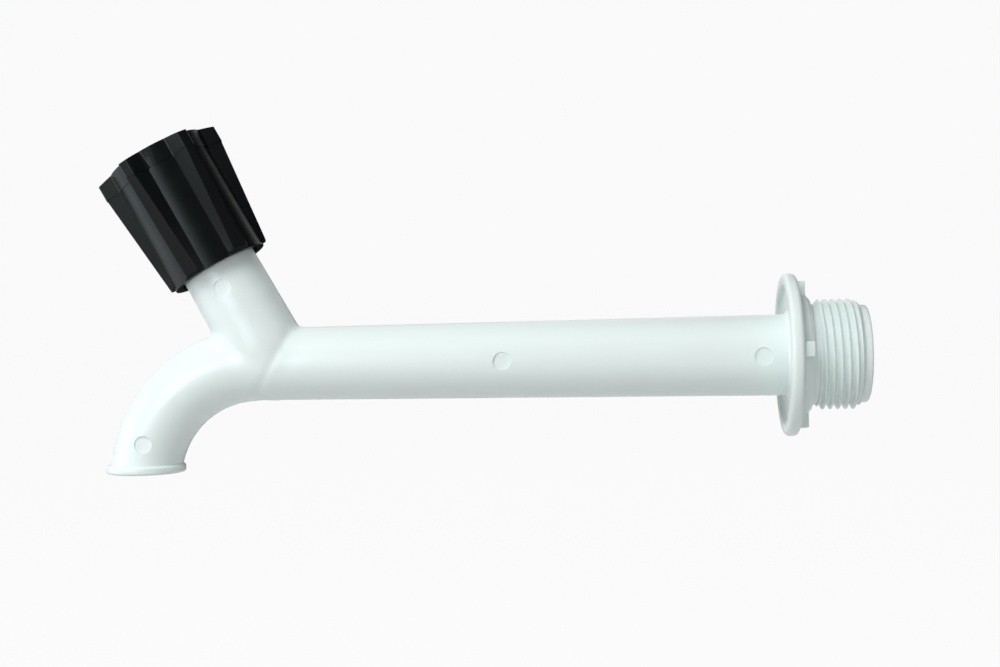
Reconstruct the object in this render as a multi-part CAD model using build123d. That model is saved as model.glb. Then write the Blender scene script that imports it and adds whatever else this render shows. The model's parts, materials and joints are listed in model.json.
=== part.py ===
from build123d import *
import os
from math import asin, cos, radians, sin, tan

# A long-body sink tap in white moulded plastic, with a black ribbed knob on a neck that leans over the spout.
# Millimetres. +X runs along the inlet into the wall, +Z is up, and the tap is symmetric about the plane Y = 0.
# The origin is on the inlet's axis, on the flange's wall side.

# Tube
TUBE_LENGTH = 126.6          # from the wall side of the flange to where the neck's axis crosses
TUBE_D_AT_FLANGE = 19.6
TUBE_D_AT_NECK = 17.7
WATERWAY_D_AT_FLANGE = 14.6
WATERWAY_D_AT_NECK = 12.8

# Wall flange, with its hub and lugs on the wall side
FLANGE_D = 39.0
FLANGE_T = 3.1
FLANGE_RIM_W = 2.6
FLANGE_DISH = 1.2            # how far the rim stands proud of the web, on the spout side
FLANGE_ROUND = 1.1
FLANGE_DISH_ROUND = 0.5
HUB_D = 28.8
HUB_L = 3.0
HUB_CHAMFER = 0.9
LUG_COUNT = 4
LUG_REACH_D = 35.2
LUG_W = 3.6
LUG_L = 2.5
LUG_TURN = -6.0              # degrees, the front lug sits a little above the middle

# Inlet tail: a G 3/4 thread, drawn at its major diameter, between a plain run and a plain pilot
THREAD_D = 26.44
TAIL_RUN_D = 24.1
TAIL_RUN_L = 1.2
THREAD_L = 10.6
PILOT_D = 23.4
PILOT_L = 1.9
THREAD_CHAMFER = 0.8
PILOT_ROUND = 0.6
TAIL_BORE_D = 18.4

# Neck
NECK_LEAN = 28.8             # degrees from upright, towards the spout
NECK_MOUTH = 34.0            # along the neck's axis, from the crossing of the axes
NECK_D_AT_MOUTH = 18.4
NECK_D_AT_FOOT = 19.4
NECK_FOOT = 5.0              # below this the neck rounds off inside the tube

# Spout
SPOUT_OFFSET = 4.1           # the bend starts this far past the crossing
SPOUT_BEND_R = 28.5
SPOUT_TURN = 80.0            # degrees
SPOUT_STATIONS = 5
SPOUT_D_START = 18.1
SPOUT_D_END = 17.2
MITRE_SHIFT = 0.7            # the seam between tube and spout leans as the neck's seam does, this far off
SPOUT_WALL = 2.3
OUTLET_DROP = 26.2           # outlet plane below the inlet's axis
LIP_D = 19.4
LIP_H = 2.1
LIP_ROUND = 0.7

# Round marks left by the mould's ejector pins, on the near side
MARK_D = 4.3
MARK_DEPTH = 0.35
MARKS_ON_TUBE = (70.2, 8.5)  # distance from the wall side of the flange
MARK_ON_NECK = 21.4
MARK_ON_SPOUT = 70.0         # degrees round the bend

# Valve seat, across the crossing of the axes
SEAT_HOLE_D = 8.5
SEAT_LIP_D = 10.6
SEAT_LIP_H = 0.8
PARTITION_T = 2.2
CHAMBER_D = 13.4

# Valve pieces
WASHER_D = 11.4
WASHER_T = 2.8
JUMPER_D = 12.0
JUMPER_T = 2.5
JUMPER_STEM_D = 5.0
JUMPER_STEM_L = 11.5
JUMPER_STEM_CHAMFER = 0.5
WASHER_SCREW_D = 3.0
WASHER_SCREW_L = 7.5
WASHER_SCREW_HEAD_D = 5.6
WASHER_SCREW_HEAD_H = 1.5
WASHER_SCREW_SLOT = 0.8
THRUST_GAP = 0.1
RUNNING_GAP = 0.05           # radial, between pieces that turn or slide in each other
LOOSE_GAP = 0.1              # radial or per side, between pieces that are put together by hand

# Spindle
SPINDLE_SCREW_D = 9.0
SPINDLE_SCREW_L = 14.0
SPINDLE_JOURNAL_D = 7.0
SPINDLE_SQUARE = 4.9
SPINDLE_SQUARE_L = 10.5
STEM_END_ROOM = 1.5
RING_SECTION_D = 1.8
RING_PLACES = (28.3, 31.5)   # along the neck's axis
RING_GROOVE_W = 2.3
VALVE_LIFT = 4.5

# Bonnet
BONNET_FOOT = 14.0
BONNET_HEAD_AF = 15.0        # across the flats of its hexagon head
BONNET_HEAD_H = 3.0
BONNET_SEAL_T = 1.0
BONNET_STEP_ROOM = 1.5

# Knob
KNOB_FOOT = 27.0
KNOB_L = 31.5
KNOB_CORE_D = 24.2
KNOB_RIB_COUNT = 6
KNOB_RIB_TURN = -17.5        # degrees from the near side, at rest
KNOB_RIB_TOP_R = 15.7
KNOB_RIB_FOOT_R = 13.1
KNOB_RIB_BASE_W = 5.8
KNOB_RIB_CREST_TOP_W = 2.3
KNOB_RIB_CREST_FOOT_W = 3.8
KNOB_RIB_END = 0.7           # the ribs stop this far above the foot
KNOB_BAND_H = 3.9            # top band, above the mould step
KNOB_BAND_STEP = 0.15
KNOB_DOME = 1.8
KNOB_WALL = 1.8
KNOB_CEILING_T = 6.2
KNOB_BOSS_D = 11.0
KNOB_BOSS_GAP = 0.9
KNOB_WEB_T = 3.0
CAP_D = 12.4
CAP_T = 1.6
CAP_ROUND = 0.4
KNOB_SCREW_D = 3.0
KNOB_SCREW_L = 10.0
KNOB_SCREW_HEAD_D = 6.6
KNOB_SCREW_HEAD_H = 2.2
KNOB_SCREW_HEAD_ROOM = 0.2
KNOB_SCREW_SLOT = 1.0
SCREW_HEAD_ROUND = 0.5

# Working planes: Z runs into the wall on INLET and up the neck on NECK, and X points to the near side on both
NECK_AXIS = Vector(-sin(radians(NECK_LEAN)), 0, cos(radians(NECK_LEAN)))
CROSSING = Vector(-TUBE_LENGTH, 0, 0)
INLET = Plane(origin=(0, 0, 0), x_dir=(0, -1, 0), z_dir=(1, 0, 0))
NECK = Plane(origin=CROSSING, x_dir=(0, -1, 0), z_dir=NECK_AXIS)
MITRE_NORMAL = Vector(cos(radians(NECK_LEAN)), 0, -sin(radians(NECK_LEAN)))
BIG = 4 * TUBE_LENGTH


def turned(*points):
    """A solid of revolution about Z, from (radius, height) points."""
    outline = Polyline(*[(radius, 0, height) for radius, height in points], close=True)
    return revolve(make_face(outline), Axis.Z)


def rod(diameter, low, high):
    """A round bar on Z between two heights."""
    return Pos(0, 0, low) * Cylinder(diameter / 2, high - low, align=(Align.CENTER, Align.CENTER, Align.MIN))


def block(width, depth, low, high):
    """A rectangular bar on Z between two heights."""
    return Pos(0, 0, low) * Box(width, depth, high - low, align=(Align.CENTER, Align.CENTER, Align.MIN))


def ring(outer, inner, low, high):
    return rod(outer, low, high) - rod(inner, low, high)


def rim_edges(solid, diameter):
    """The circular edges of one diameter on a solid about Z."""
    circles = solid.edges().filter_by(GeomType.CIRCLE)
    return circles.filter_by(lambda edge: abs(2 * edge.radius - diameter) < 0.01)


# Places along the neck's axis, and the inlet waterway's end along the inlet's
washer_low = SEAT_LIP_H
washer_high = washer_low + WASHER_T
jumper_high = washer_high + JUMPER_T
spindle_low = jumper_high + THRUST_GAP
screw_high = spindle_low + SPINDLE_SCREW_L
bonnet_seat = NECK_MOUTH + BONNET_SEAL_T
bonnet_high = bonnet_seat + BONNET_HEAD_H
bonnet_step = screw_high + VALVE_LIFT + BONNET_STEP_ROOM
square_low = bonnet_high
spindle_high = square_low + SPINDLE_SQUARE_L
knob_rim = KNOB_FOOT + KNOB_L
knob_crown = knob_rim + KNOB_DOME
cap_low = knob_crown - CAP_T
screw_seat = spindle_high + KNOB_WEB_T
waterway_end = -TUBE_LENGTH - CHAMBER_D / 4
ring_groove_d = SPINDLE_JOURNAL_D - 2 * RING_SECTION_D - 2 * RUNNING_GAP
rib_half_angle = asin(KNOB_RIB_BASE_W / KNOB_CORE_D)


def spout_station(turn):
    """The plane across the spout after a turn in degrees, with Z along the flow."""
    angle = radians(turn)
    x = CROSSING.X - SPOUT_OFFSET - SPOUT_BEND_R * sin(angle)
    z = -SPOUT_BEND_R * (1 - cos(angle))
    return Plane(origin=(x, 0, z), x_dir=(0, -1, 0), z_dir=(-cos(angle), 0, -sin(angle)))


def spout_run(start_diameter, end_diameter):
    """A tapering bar round the bend, from short of the crossing to below the outlet plane."""
    stations = [SPOUT_TURN * step / SPOUT_STATIONS for step in range(SPOUT_STATIONS + 1)]
    step_down = (end_diameter - start_diameter) / SPOUT_TURN
    faces = [spout_station(turn) * Circle((start_diameter + step_down * turn) / 2) for turn in stations]
    bend = loft(faces)
    entry = spout_station(0) * rod(start_diameter, -SPOUT_OFFSET - start_diameter / 2, 0)
    tail = spout_station(SPOUT_TURN) * rod(end_diameter, 0, OUTLET_DROP)
    return entry + bend + tail


def outlet_centre():
    """Where the spout's axis meets the outlet plane."""
    end = spout_station(SPOUT_TURN)
    run = (OUTLET_DROP + end.origin.Z) / -end.z_dir.Z
    return end.origin + end.z_dir * run


def inlet_run():
    """Tube, flange, hub and threaded tail, turned about the inlet's axis."""
    web = -FLANGE_T + FLANGE_DISH
    run_end = HUB_L + TAIL_RUN_L
    thread_end = run_end + THREAD_L
    tube_end = -TUBE_LENGTH - TUBE_D_AT_NECK / 2 * tan(radians(NECK_LEAN))
    tube = turned(
        (0, tube_end),
        (TUBE_D_AT_NECK / 2, tube_end),
        (TUBE_D_AT_NECK / 2, -TUBE_LENGTH),
        (TUBE_D_AT_FLANGE / 2, web),
        (0, web),
    )
    flange = turned(
        (0, web),
        (FLANGE_D / 2 - FLANGE_RIM_W, web),
        (FLANGE_D / 2 - FLANGE_RIM_W, -FLANGE_T),
        (FLANGE_D / 2, -FLANGE_T),
        (FLANGE_D / 2, 0),
        (0, 0),
    )
    flange = fillet(rim_edges(flange, FLANGE_D), FLANGE_ROUND)
    flange = fillet(rim_edges(flange, FLANGE_D - 2 * FLANGE_RIM_W), FLANGE_DISH_ROUND)
    hub = rod(HUB_D, 0, HUB_L)
    hub = chamfer(rim_edges(hub, HUB_D).sort_by(Axis.Z)[-1], HUB_CHAMFER)
    lug_depth = (LUG_REACH_D - HUB_D) / 2 + HUB_CHAMFER
    lug = Pos(LUG_REACH_D / 2 - lug_depth / 2, 0, 0) * block(lug_depth, LUG_W, 0, LUG_L)
    lugs = [Rot(0, 0, LUG_TURN + 360 / LUG_COUNT * index) * lug for index in range(LUG_COUNT)]
    tail = rod(TAIL_RUN_D, HUB_L, run_end)
    thread = rod(THREAD_D, run_end, thread_end)
    thread = chamfer(rim_edges(thread, THREAD_D), THREAD_CHAMFER)
    pilot = rod(PILOT_D, thread_end, thread_end + PILOT_L)
    pilot = fillet(rim_edges(pilot, PILOT_D).sort_by(Axis.Z)[-1], PILOT_ROUND)
    return INLET * (tube + flange + hub + lugs + tail + thread + pilot)


def inlet_waterway():
    """The core that leaves the inlet's waterway, stopped below the seat."""
    end = HUB_L + TAIL_RUN_L + THREAD_L + PILOT_L
    core = INLET * turned(
        (0, waterway_end),
        (WATERWAY_D_AT_NECK / 2, waterway_end),
        (WATERWAY_D_AT_FLANGE / 2, 0),
        (TAIL_BORE_D / 2, HUB_L),
        (TAIL_BORE_D / 2, end),
        (0, end),
    )
    return core & (NECK * block(BIG, BIG, -BIG, -PARTITION_T))


def ejector_marks():
    """Shallow round pockets, each square to the near side."""
    slope = (TUBE_D_AT_FLANGE - TUBE_D_AT_NECK) / TUBE_LENGTH
    marks = []
    for distance in MARKS_ON_TUBE:
        floor = (TUBE_D_AT_FLANGE - slope * distance) / 2 - MARK_DEPTH
        marks.append((Vector(-distance, 0, 0), floor))
    neck_slope = (NECK_D_AT_FOOT - NECK_D_AT_MOUTH) / (NECK_MOUTH - NECK_FOOT)
    neck_r = (NECK_D_AT_MOUTH + neck_slope * (NECK_MOUTH - MARK_ON_NECK)) / 2
    marks.append((CROSSING + NECK_AXIS * MARK_ON_NECK, neck_r - MARK_DEPTH))
    spout_slope = (SPOUT_D_END - SPOUT_D_START) / SPOUT_TURN
    spout_r = (SPOUT_D_START + spout_slope * MARK_ON_SPOUT) / 2
    marks.append((spout_station(MARK_ON_SPOUT).origin, spout_r - MARK_DEPTH))
    return [
        Plane(origin=place, x_dir=(1, 0, 0), z_dir=(0, -1, 0)) * rod(MARK_D, floor, floor + MARK_D)
        for place, floor in marks
    ]


def make_body():
    neck = NECK * turned(
        (0, NECK_FOOT),
        (NECK_D_AT_FOOT / 2, NECK_FOOT),
        (NECK_D_AT_MOUTH / 2, NECK_MOUTH),
        (0, NECK_MOUTH),
    )
    neck_end = NECK * Pos(0, 0, NECK_FOOT) * Sphere(NECK_D_AT_FOOT / 2)
    below_outlet = block(BIG, BIG, -BIG, -OUTLET_DROP)
    mitre = Plane(origin=CROSSING + Vector(MITRE_SHIFT, 0, 0), x_dir=(0, -1, 0), z_dir=MITRE_NORMAL)
    past_mitre = mitre * block(BIG, BIG, 0, BIG)
    spout = spout_run(SPOUT_D_START, SPOUT_D_END) - below_outlet - past_mitre
    mouth = outlet_centre()
    lip = rod(LIP_D, 0, LIP_H)
    lip = Pos(mouth.X, 0, -OUTLET_DROP) * fillet(rim_edges(lip, LIP_D), LIP_ROUND)
    outside = inlet_run() + neck + neck_end + spout + lip
    below_seat = NECK * block(BIG, BIG, -BIG, 0)
    behind_seat = INLET * block(BIG, BIG, waterway_end - SPOUT_WALL, BIG)
    spout_bore = spout_run(SPOUT_D_START - 2 * SPOUT_WALL, SPOUT_D_END - 2 * SPOUT_WALL)
    spout_bore -= below_seat & behind_seat
    chamber = NECK * rod(CHAMBER_D, 0, NECK_MOUTH)
    seat_lip = NECK * ring(SEAT_LIP_D, SEAT_HOLE_D, -PARTITION_T / 2, SEAT_LIP_H)
    under_seat = NECK * rod(SEAT_HOLE_D, -PARTITION_T, 0)
    inside = [inlet_waterway(), chamber, spout_bore, under_seat]
    return outside - inside + seat_lip - ejector_marks()


def make_bonnet():
    """A hexagon-headed plug whose bore carries the spindle's screw below and its journal above."""
    shank = rod(CHAMBER_D - 2 * LOOSE_GAP, BONNET_FOOT, bonnet_seat)
    hexagon = RegularPolygon(BONNET_HEAD_AF / 2, 6, major_radius=False)
    head = extrude(Pos(0, 0, bonnet_seat) * hexagon, BONNET_HEAD_H)
    screw_bore = rod(SPINDLE_SCREW_D + 2 * RUNNING_GAP, BONNET_FOOT, bonnet_step)
    journal_bore = rod(SPINDLE_JOURNAL_D + 2 * RUNNING_GAP, bonnet_step, bonnet_high)
    return NECK * (shank + head - screw_bore - journal_bore)


def make_bonnet_seal():
    return NECK * ring(NECK_D_AT_MOUTH - 2 * LOOSE_GAP, CHAMBER_D, NECK_MOUTH, bonnet_seat)


def make_spindle():
    """A stem with a screwed foot, a journal with two ring grooves and a square top."""
    stem = rod(SPINDLE_SCREW_D, spindle_low, screw_high)
    stem += rod(SPINDLE_JOURNAL_D, screw_high, square_low)
    stem += block(SPINDLE_SQUARE, SPINDLE_SQUARE, square_low, spindle_high)
    stem -= rod(JUMPER_STEM_D + 2 * RUNNING_GAP, spindle_low, jumper_high + JUMPER_STEM_L + STEM_END_ROOM)
    for place in RING_PLACES:
        low = place - RING_GROOVE_W / 2
        stem -= ring(2 * SPINDLE_JOURNAL_D, ring_groove_d, low, low + RING_GROOVE_W)
    stem -= rod(KNOB_SCREW_D, screw_seat - KNOB_SCREW_L, spindle_high)
    return NECK * stem


def make_spindle_o_rings():
    ring_middle = (SPINDLE_JOURNAL_D - RING_SECTION_D) / 2
    rings = [Pos(0, 0, place) * Torus(ring_middle, RING_SECTION_D / 2) for place in RING_PLACES]
    return NECK * Compound(children=rings)


def make_jumper():
    """The valve plate: a disc that carries the washer, with a stem that slides in the spindle."""
    plate = rod(JUMPER_D, washer_high, jumper_high)
    stem = rod(JUMPER_STEM_D, jumper_high, jumper_high + JUMPER_STEM_L)
    stem = chamfer(rim_edges(stem, JUMPER_STEM_D).sort_by(Axis.Z)[-1], JUMPER_STEM_CHAMFER)
    hole = rod(WASHER_SCREW_D, washer_high, washer_low + WASHER_SCREW_L)
    return NECK * (plate + stem - hole)


def make_seat_washer():
    return NECK * ring(WASHER_D, WASHER_SCREW_D + 2 * LOOSE_GAP, washer_low, washer_high)


def slotted_screw(diameter, length, head_diameter, head_height, slot):
    """A screw with its head's seat at Z = 0, its head above and its shank below."""
    head = rod(head_diameter, 0, head_height)
    head = fillet(rim_edges(head, head_diameter).sort_by(Axis.Z)[-1], SCREW_HEAD_ROUND)
    cut = block(2 * head_diameter, slot, head_height / 2, 2 * head_height)
    return head + rod(diameter, -length, 0) - cut


def make_washer_screw():
    screw = slotted_screw(
        WASHER_SCREW_D, WASHER_SCREW_L, WASHER_SCREW_HEAD_D, WASHER_SCREW_HEAD_H, WASHER_SCREW_SLOT
    )
    return NECK * Pos(0, 0, washer_low) * Rot(180, 0, 0) * screw


def make_knob_screw():
    screw = slotted_screw(KNOB_SCREW_D, KNOB_SCREW_L, KNOB_SCREW_HEAD_D, KNOB_SCREW_HEAD_H, KNOB_SCREW_SLOT)
    return NECK * Pos(0, 0, screw_seat) * screw


def make_knob_cap():
    cap = rod(CAP_D, cap_low, knob_crown)
    cap = fillet(rim_edges(cap, CAP_D).sort_by(Axis.Z)[-1], CAP_ROUND)
    return NECK * cap


def ribbed_section(height, crest_r, crest_w, growth=0.0):
    """The knob's outline at one height: a round core with straight-sided ribs, all grown by a little."""
    foot = KNOB_CORE_D / 4
    rib = Polygon(
        (foot, -KNOB_RIB_BASE_W / 2 - growth),
        (KNOB_CORE_D / 2 * cos(rib_half_angle), -KNOB_RIB_BASE_W / 2 - growth),
        (crest_r + growth, -crest_w / 2 - growth),
        (crest_r + growth, crest_w / 2 + growth),
        (KNOB_CORE_D / 2 * cos(rib_half_angle), KNOB_RIB_BASE_W / 2 + growth),
        (foot, KNOB_RIB_BASE_W / 2 + growth),
        align=None,
    )
    section = Circle(KNOB_CORE_D / 2 + growth)
    for index in range(KNOB_RIB_COUNT):
        section += Rot(0, 0, KNOB_RIB_TURN + 360 / KNOB_RIB_COUNT * index) * rib
    return Pos(0, 0, height) * section


def make_knob():
    """Six ribs that keep their foot width, lose height and gain crest width down to the knob's foot."""
    step = knob_rim - KNOB_BAND_H
    ribs_low = KNOB_FOOT + KNOB_RIB_END
    ribs = loft(
        [
            ribbed_section(ribs_low, KNOB_RIB_FOOT_R, KNOB_RIB_CREST_FOOT_W),
            ribbed_section(step, KNOB_RIB_TOP_R, KNOB_RIB_CREST_TOP_W),
        ],
        ruled=True,
    )
    band_face = ribbed_section(step, KNOB_RIB_TOP_R, KNOB_RIB_CREST_TOP_W, KNOB_BAND_STEP)
    band = extrude(band_face, KNOB_BAND_H + KNOB_DOME)
    rim_r = KNOB_RIB_TOP_R + KNOB_BAND_STEP
    dome_r = (rim_r ** 2 + KNOB_DOME ** 2) / (2 * KNOB_DOME)
    dome = Pos(0, 0, knob_crown - dome_r) * Sphere(dome_r)
    band = band & dome
    foot = rod(KNOB_CORE_D, KNOB_FOOT, ribs_low)
    ceiling = knob_rim - KNOB_CEILING_T
    skirt = rod(KNOB_CORE_D - 2 * KNOB_WALL, KNOB_FOOT, ceiling)
    boss = rod(KNOB_BOSS_D, bonnet_high + KNOB_BOSS_GAP, ceiling)
    socket_w = SPINDLE_SQUARE + 2 * LOOSE_GAP
    socket = block(socket_w, socket_w, bonnet_high, spindle_high)
    screw_way = rod(KNOB_SCREW_D + 2 * LOOSE_GAP, spindle_high, screw_seat)
    head_way = rod(KNOB_SCREW_HEAD_D + 2 * KNOB_SCREW_HEAD_ROOM, screw_seat, knob_crown)
    cap_way = rod(CAP_D + LOOSE_GAP, cap_low, knob_crown)
    return NECK * (ribs + band + foot - skirt + boss - socket - screw_way - head_way - cap_way)


makers = {
    "body": make_body,
    "bonnet": make_bonnet,
    "bonnet_seal": make_bonnet_seal,
    "spindle": make_spindle,
    "spindle_o_rings": make_spindle_o_rings,
    "jumper": make_jumper,
    "seat_washer": make_seat_washer,
    "washer_screw": make_washer_screw,
    "knob": make_knob,
    "knob_screw": make_knob_screw,
    "knob_cap": make_knob_cap,
}
os.makedirs("parts", exist_ok=True)
for name, make in makers.items():
    export_step(make(), f"parts/{name}.step")
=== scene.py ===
import json
from math import cos, pi, radians, sin, tan
from typing import NamedTuple

import bpy
from mathutils import Matrix, Vector

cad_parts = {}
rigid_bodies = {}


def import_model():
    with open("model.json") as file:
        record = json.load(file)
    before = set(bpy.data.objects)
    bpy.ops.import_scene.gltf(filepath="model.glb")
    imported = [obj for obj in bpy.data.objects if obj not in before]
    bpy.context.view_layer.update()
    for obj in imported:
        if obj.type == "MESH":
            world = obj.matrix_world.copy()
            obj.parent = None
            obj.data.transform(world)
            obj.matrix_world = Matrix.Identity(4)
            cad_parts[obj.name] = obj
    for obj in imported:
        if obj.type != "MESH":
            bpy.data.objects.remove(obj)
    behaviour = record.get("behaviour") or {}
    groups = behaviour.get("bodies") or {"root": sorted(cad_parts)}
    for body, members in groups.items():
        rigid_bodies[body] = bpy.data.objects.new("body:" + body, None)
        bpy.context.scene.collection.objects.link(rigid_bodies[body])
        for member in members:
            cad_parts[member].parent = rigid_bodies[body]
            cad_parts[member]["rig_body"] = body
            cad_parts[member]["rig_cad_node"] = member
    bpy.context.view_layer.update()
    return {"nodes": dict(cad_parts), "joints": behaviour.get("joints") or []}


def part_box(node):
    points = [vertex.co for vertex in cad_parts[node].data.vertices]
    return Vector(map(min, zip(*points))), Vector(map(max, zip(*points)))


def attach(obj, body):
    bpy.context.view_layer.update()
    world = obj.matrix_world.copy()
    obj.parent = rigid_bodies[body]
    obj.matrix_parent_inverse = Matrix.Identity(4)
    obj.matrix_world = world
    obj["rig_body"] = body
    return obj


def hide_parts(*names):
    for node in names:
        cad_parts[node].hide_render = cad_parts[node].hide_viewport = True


bl_info = {
    "name": "Plastic sink tap",
    "version": (1, 0, 0),
    "blender": (4, 5, 0),
    "location": "3D View > Sidebar > Sink tap",
    "description": "Finishes a long-body sink tap with a black ribbed knob over its packed solids",
    "category": "Object",
}

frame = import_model()

# The frame is in metres, and sizes are written in millimetres
MM = 0.001

# The neck's axis and the point where it crosses the inlet's axis, from the knob's own joint
knob_joint = next(joint for joint in frame["joints"] if joint["name"] == "knob_turn")
CROSSING = Vector(knob_joint["pos_m"])
NECK_AXIS = Vector(knob_joint["axis"]).normalized()
INLET_AXIS = Vector((1, 0, 0))
OUTLET_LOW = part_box("body")[0].z

AROUND = 96              # faces round a turned piece
CORNER_STEPS = 5         # steps of a profile's rounded corner
BEVEL_STEPS = 3          # steps of a bevelled edge
PATH_STEPS = 32          # steps along each part of the spout's middle line
PATH_ROUND_STEPS = 22    # steps of the spout's roundness, as the curve's bevel counts them
WELD = MM / 1000         # points nearer than this are merged
CLEAR = MM / 10          # keeps the faces of two pieces from coinciding
OVERSHOOT = MM           # how far a cutter runs past the face that it opens
SMOOTHING = 0.5          # share of the way that a point moves in a smoothing pass


class TapMouldingSizes(bpy.types.PropertyGroup):
    """The tube, the neck and the spout."""

    tube_d_at_flange: bpy.props.FloatProperty(
        name="Tube diameter at flange", description="Outside, where the tube meets the flange",
        default=19.6 * MM, unit="LENGTH")
    tube_d_at_neck: bpy.props.FloatProperty(
        name="Tube diameter at neck", description="Outside, where the neck's axis crosses",
        default=17.7 * MM, unit="LENGTH")
    neck_d_at_mouth: bpy.props.FloatProperty(
        name="Neck diameter at mouth", description="Outside, under the knob",
        default=18.4 * MM, unit="LENGTH")
    neck_d_at_foot: bpy.props.FloatProperty(
        name="Neck diameter at foot", description="Outside, where the neck rounds off inside the tube",
        default=19.4 * MM, unit="LENGTH")
    neck_foot: bpy.props.FloatProperty(
        name="Neck foot", description="Along the neck's axis from the crossing",
        default=5.0 * MM, unit="LENGTH")
    neck_mouth: bpy.props.FloatProperty(
        name="Neck mouth", description="Along the neck's axis from the crossing",
        default=34.0 * MM, unit="LENGTH")
    neck_spare: bpy.props.FloatProperty(
        name="Neck spare length", description="How far the neck is drawn past its mouth before it is trimmed",
        default=2.3 * MM, unit="LENGTH")
    chamber_d: bpy.props.FloatProperty(
        name="Valve chamber diameter", description="Bore of the neck",
        default=13.4 * MM, unit="LENGTH")
    waterway_d: bpy.props.FloatProperty(
        name="Waterway diameter", description="Bore of the tube at the flange",
        default=14.6 * MM, unit="LENGTH")
    waterway_d_at_neck: bpy.props.FloatProperty(
        name="Waterway diameter at neck", description="Bore of the tube where it opens into the chamber",
        default=12.4 * MM, unit="LENGTH")
    spout_offset: bpy.props.FloatProperty(
        name="Spout offset", description="From the crossing to the start of the bend",
        default=4.1 * MM, unit="LENGTH")
    spout_bend_r: bpy.props.FloatProperty(
        name="Spout bend radius", description="Of the spout's middle line",
        default=28.5 * MM, unit="LENGTH")
    spout_turn: bpy.props.FloatProperty(
        name="Spout turn", description="How far the spout bends down",
        default=radians(80), subtype="ANGLE")
    spout_d_start: bpy.props.FloatProperty(
        name="Spout diameter at start", description="Outside, at the neck",
        default=18.1 * MM, unit="LENGTH")
    spout_d_end: bpy.props.FloatProperty(
        name="Spout diameter at end", description="Outside, above the outlet's lip",
        default=17.2 * MM, unit="LENGTH")
    spout_wall: bpy.props.FloatProperty(
        name="Spout wall", description="Thickness of the spout's wall",
        default=2.3 * MM, unit="LENGTH")
    mitre_shift: bpy.props.FloatProperty(
        name="Mitre shift", description="Of the seam between the tube and the spout, along the inlet's axis",
        default=0.7 * MM, unit="LENGTH")
    lip_d: bpy.props.FloatProperty(
        name="Lip diameter", description="Of the ring round the outlet",
        default=19.4 * MM, unit="LENGTH")
    lip_h: bpy.props.FloatProperty(
        name="Lip height", description="Of the ring round the outlet",
        default=2.1 * MM, unit="LENGTH")
    lip_round: bpy.props.FloatProperty(
        name="Lip rounding", description="Radius of the lip's edges",
        default=0.7 * MM, unit="LENGTH")
    mark_d: bpy.props.FloatProperty(
        name="Ejector mark diameter", description="Of the round marks left by the mould",
        default=4.3 * MM, unit="LENGTH")
    mark_depth: bpy.props.FloatProperty(
        name="Ejector mark depth", description="Of the round marks left by the mould",
        default=0.45 * MM, unit="LENGTH")
    skin_step: bpy.props.FloatProperty(
        name="Skin step", description="Face size of the moulding's skin",
        default=0.55 * MM, unit="LENGTH")
    seam_softening: bpy.props.IntProperty(
        name="Seam softening", description="Smoothing passes over the seams of tube, neck and spout",
        default=10, min=0)
    foot_softening: bpy.props.IntProperty(
        name="Neck foot softening", description="Smoothing passes where the neck's sides run into the spout",
        default=50, min=0)
    foot_reach: bpy.props.FloatProperty(
        name="Neck foot reach", description="How far round the neck's foot the extra softening goes",
        default=14.0 * MM, unit="LENGTH")
    foot_middle: bpy.props.FloatProperty(
        name="Neck foot middle", description="Half width of the middle strip that gets no extra softening",
        default=2.3 * MM, unit="LENGTH")
    crease_w: bpy.props.FloatProperty(
        name="Crease width", description="Of the soft valley between the tube and the spout",
        default=1.4 * MM, unit="LENGTH")
    crease_depth: bpy.props.FloatProperty(
        name="Crease depth", description="Of the soft valley, before it is smoothed",
        default=0.22 * MM, unit="LENGTH")
    crease_middle: bpy.props.FloatProperty(
        name="Crease middle", description="Half width of the middle strip that the valley leaves out",
        default=5.0 * MM, unit="LENGTH")
    tube_mark_far: bpy.props.FloatProperty(
        name="Far tube mark", description="Ejector mark on the tube, from the wall",
        default=70.2 * MM, unit="LENGTH")
    tube_mark_near: bpy.props.FloatProperty(
        name="Near tube mark", description="Ejector mark on the tube, from the wall",
        default=8.5 * MM, unit="LENGTH")
    neck_mark: bpy.props.FloatProperty(
        name="Neck mark", description="Ejector mark on the neck, from the crossing",
        default=21.4 * MM, unit="LENGTH")
    spout_mark: bpy.props.FloatProperty(
        name="Spout mark", description="Ejector mark on the spout, as a turn along its bend",
        default=radians(70), subtype="ANGLE")


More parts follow.
